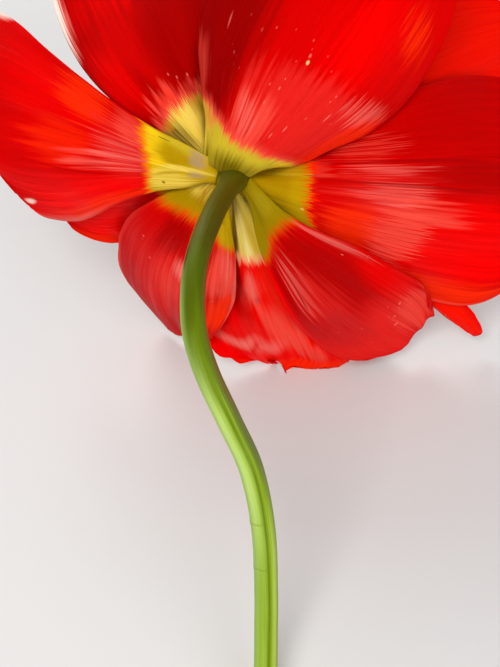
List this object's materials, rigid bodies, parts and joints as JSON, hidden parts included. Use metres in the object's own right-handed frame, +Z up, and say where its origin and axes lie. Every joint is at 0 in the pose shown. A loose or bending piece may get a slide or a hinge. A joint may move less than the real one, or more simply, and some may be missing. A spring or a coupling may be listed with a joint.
{
  "type": "tulip flower",
  "caption": "Cut, fully blown red tulip lying on its lower petals, with yellow petal bases, a curved green stem, dark stamens and a lobed pistil inside.",
  "frame": {"origin": "on the surface that the flower lies on, under the middle of its box", "axes": "+Z up, +Y from the stem's cut end towards the bloom and the way its mouth looks, +X to the right seen from the stem"},
  "size_m": [0.1636, 0.2564, 0.1254],
  "materials": {
    "petal": "soft satin petal, red with a yellow base",
    "stem": "smooth waxy green",
    "stamen": "powdery near-black",
    "pistil": "smooth pale green"
  },
  "bodies": {
    "root": {"stem": "stem", "outer_petal_left": "petal", "outer_petal_top": "petal", "outer_petal_lower_right": "petal", "outer_petal_lower_left": "petal", "inner_petal_upper_left": "petal", "inner_petal_right": "petal", "inner_petal_bottom": "petal", "inner_petal_left": "petal", "innermost_petal_upper_right": "petal", "innermost_petal_lower_right": "petal", "pistil": "pistil", "stamen_1": "stamen", "stamen_2": "stamen", "stamen_3": "stamen", "stamen_4": "stamen", "stamen_5": "stamen", "stamen_6": "stamen"}
  },
  "joints": []
}
